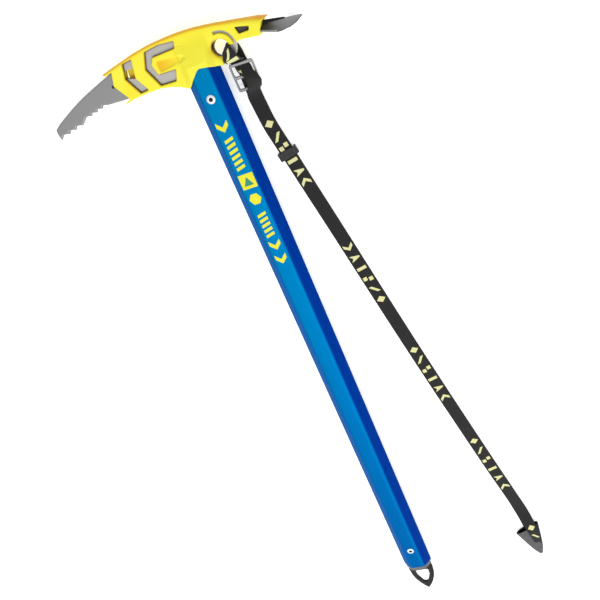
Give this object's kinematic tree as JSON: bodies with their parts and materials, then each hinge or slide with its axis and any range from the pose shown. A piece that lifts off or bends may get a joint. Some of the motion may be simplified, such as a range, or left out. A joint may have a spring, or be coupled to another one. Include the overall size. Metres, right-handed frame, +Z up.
{
  "type": "ice axe",
  "caption": "Walking ice axe: steel pick and adze under a plastic head cover, hexagonal aluminium shaft, steel spike and a webbing wrist leash.",
  "frame": {"origin": "on the surface the axe lies on, under the middle of the box around the axe without its leash", "axes": "+Z up from the surface the axe lies on, +Y along the shaft towards the head, +X towards the adze"},
  "size_m": [0.3198, 0.7402, 0.0538],
  "materials": {
    "head_steel": "satin",
    "cover_plastic": "satin",
    "shaft_blue": "satin",
    "plug_plastic": "matte",
    "rivet_metal": "satin",
    "spike_steel": "satin",
    "webbing": "woven",
    "buckle_metal": "satin",
    "keeper_plastic": "matte",
    "cone_rubber": "matte"
  },
  "bodies": {
    "axe": {"head_blade": "head_steel", "adze": "head_steel", "head_cover_near": "cover_plastic", "head_cover_far": "cover_plastic", "shaft_tube": "shaft_blue", "head_spacer_near": "plug_plastic", "head_spacer_far": "plug_plastic", "head_rivet": "rivet_metal", "spike": "spike_steel", "spike_plug_near": "plug_plastic", "spike_plug_far": "plug_plastic", "spike_rivet": "rivet_metal"},
    "leash": {"leash_head_loop": "webbing", "leash_front_leg": "webbing", "leash_back_leg": "webbing", "leash_tail": "webbing", "leash_buckle": "buckle_metal", "leash_end_cone": "cone_rubber"},
    "keeper": {"leash_keeper": "keeper_plastic"}
  },
  "joints": [
    {"name": "leash_swing", "type": "hinge", "parent": "axe", "child": "leash", "pos_m": [0.05506, 0.34456, 0.0203], "axis": [0, 0, 1], "range_deg": [-3, 10]},
    {"name": "keeper_slide", "type": "slide", "parent": "leash", "child": "keeper", "axis": [0.1822, -0.9833, 0], "range_m": [-0.015, 0.18]}
  ]
}
